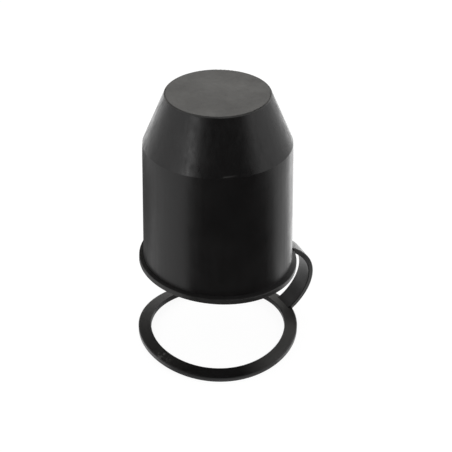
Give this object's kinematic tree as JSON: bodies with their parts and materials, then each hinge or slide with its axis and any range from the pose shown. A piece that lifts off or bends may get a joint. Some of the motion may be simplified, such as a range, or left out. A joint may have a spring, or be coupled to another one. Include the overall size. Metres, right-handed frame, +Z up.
{
  "type": "tow ball cover",
  "caption": "Soft black cover for a tow ball: a tapered round cap with a thick rim at its mouth, and a curling band down to a loop that stays round the ball's neck.",
  "frame": {"origin": "middle of the cap's mouth, on the cap's axis", "axes": "+Z up the cap's axis towards its closed top, -Y towards the viewer of the picture, +X to the viewer's right; the band leaves the rim on the right, towards the back"},
  "size_m": [0.0691, 0.0628, 0.1056],
  "materials": {
    "cover": "satin"
  },
  "bodies": {
    "root": {"tow_ball_cover": "cover"}
  },
  "joints": []
}
